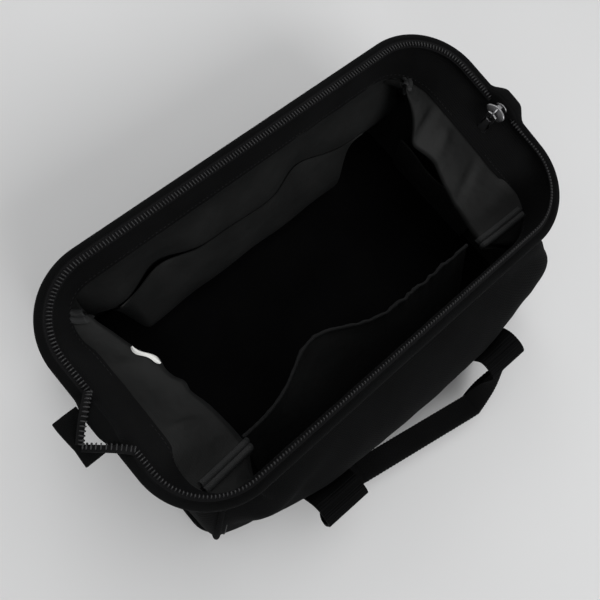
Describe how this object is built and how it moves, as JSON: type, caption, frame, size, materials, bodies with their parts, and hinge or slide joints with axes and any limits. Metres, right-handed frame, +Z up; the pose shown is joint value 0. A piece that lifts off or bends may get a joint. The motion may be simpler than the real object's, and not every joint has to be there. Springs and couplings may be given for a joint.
{
  "type": "wide-mouth tool bag",
  "caption": "Soft black tool bag with a wide zipped mouth on hinged wire frames, webbing loop handles, piped seams, a stiff base and slip pockets inside.",
  "frame": {"origin": "centre of the base's underside, on the surface the bag stands on", "axes": "+X along the bag towards the end with the zip slider, -Y towards the front wall, +Z up"},
  "size_m": [0.3952, 0.3296, 0.1561],
  "materials": {
    "cloth": "black plain-weave polyester, slightly dusty",
    "coated_cloth": "black cloth, coated face, soft gloss",
    "webbing": "black ribbed webbing",
    "zip": "black woven tape and nylon coil",
    "steel": "plain wire and plated die-cast zip parts",
    "board": "black sheet, fine grain",
    "label": "blank white satin tape"
  },
  "bodies": {
    "bag": {"front_wall": "cloth", "rear_wall": "cloth", "left_end_panel": "cloth", "right_end_panel": "cloth", "front_left_piping": "cloth", "front_right_piping": "cloth", "rear_left_piping": "cloth", "rear_right_piping": "cloth", "front_left_binding": "coated_cloth", "front_right_binding": "coated_cloth", "rear_left_binding": "coated_cloth", "rear_right_binding": "coated_cloth", "base_panel": "cloth", "base_board": "board", "base_piping": "cloth", "left_hinge_pin": "steel", "right_hinge_pin": "steel", "left_zip_tab": "cloth", "right_zip_tail": "zip", "zip_slider": "steel", "rear_left_strap_base": "webbing", "rear_right_strap_base": "webbing", "front_left_strap_base": "webbing", "front_right_strap_base": "webbing", "front_inner_pocket": "coated_cloth", "front_pocket_elastic": "zip", "rear_inner_pocket": "coated_cloth", "right_inner_pocket": "coated_cloth", "care_label": "label"},
    "rear_frame": {"rear_frame_rod": "steel", "rear_hem": "cloth", "rear_zip_tape": "zip", "rear_zip_coil": "zip"},
    "front_frame": {"front_frame_rod": "steel", "front_hem": "cloth", "front_zip_tape": "zip", "front_zip_coil": "zip"},
    "zip_pull": {"zip_pull": "steel"},
    "front_straps": {"front_left_strap": "webbing", "front_right_strap": "webbing"},
    "front_loop": {"front_handle": "webbing"},
    "rear_straps": {"rear_left_strap": "webbing", "rear_right_strap": "webbing"},
    "rear_loop": {"rear_handle": "webbing"}
  },
  "joints": [
    {"name": "rear_frame_hinge", "type": "hinge", "parent": "bag", "child": "rear_frame", "pos_m": [0, 0, 0.15], "axis": [1, 0, 0], "range_deg": [0, 85]},
    {"name": "front_frame_hinge", "type": "hinge", "parent": "bag", "child": "front_frame", "pos_m": [0, 0, 0.15], "axis": [-1, 0, 0], "range_deg": [0, 96]},
    {"name": "pull_swing", "type": "hinge", "parent": "bag", "child": "zip_pull", "pos_m": [0.1677, 0, 0.15], "axis": [0, 1, 0], "range_deg": [0, 150]},
    {"name": "front_strap_lift", "type": "hinge", "parent": "bag", "child": "front_straps", "pos_m": [0, -0.13235, 0.06], "axis": [-0.9995, 0.0307, 0], "range_deg": [0, 75]},
    {"name": "front_loop_unfold", "type": "hinge", "parent": "front_straps", "child": "front_loop", "pos_m": [-0.0006, -0.15184, 0.06], "axis": [-0.9995, 0.0307, 0], "range_deg": [0, 90]},
    {"name": "rear_strap_lift", "type": "hinge", "parent": "bag", "child": "rear_straps", "pos_m": [0, 0.11364, 0.06], "axis": [1, 0, 0], "range_deg": [0, 75]},
    {"name": "rear_loop_unfold", "type": "hinge", "parent": "rear_straps", "child": "rear_loop", "pos_m": [0, 0.13314, 0.06], "axis": [1, 0, 0], "range_deg": [0, 90]}
  ],
  "couplings": [
    {"joint": "front_loop_unfold", "follows": "front_strap_lift", "ratio": 1.2},
    {"joint": "rear_loop_unfold", "follows": "rear_strap_lift", "ratio": 1.2}
  ]
}
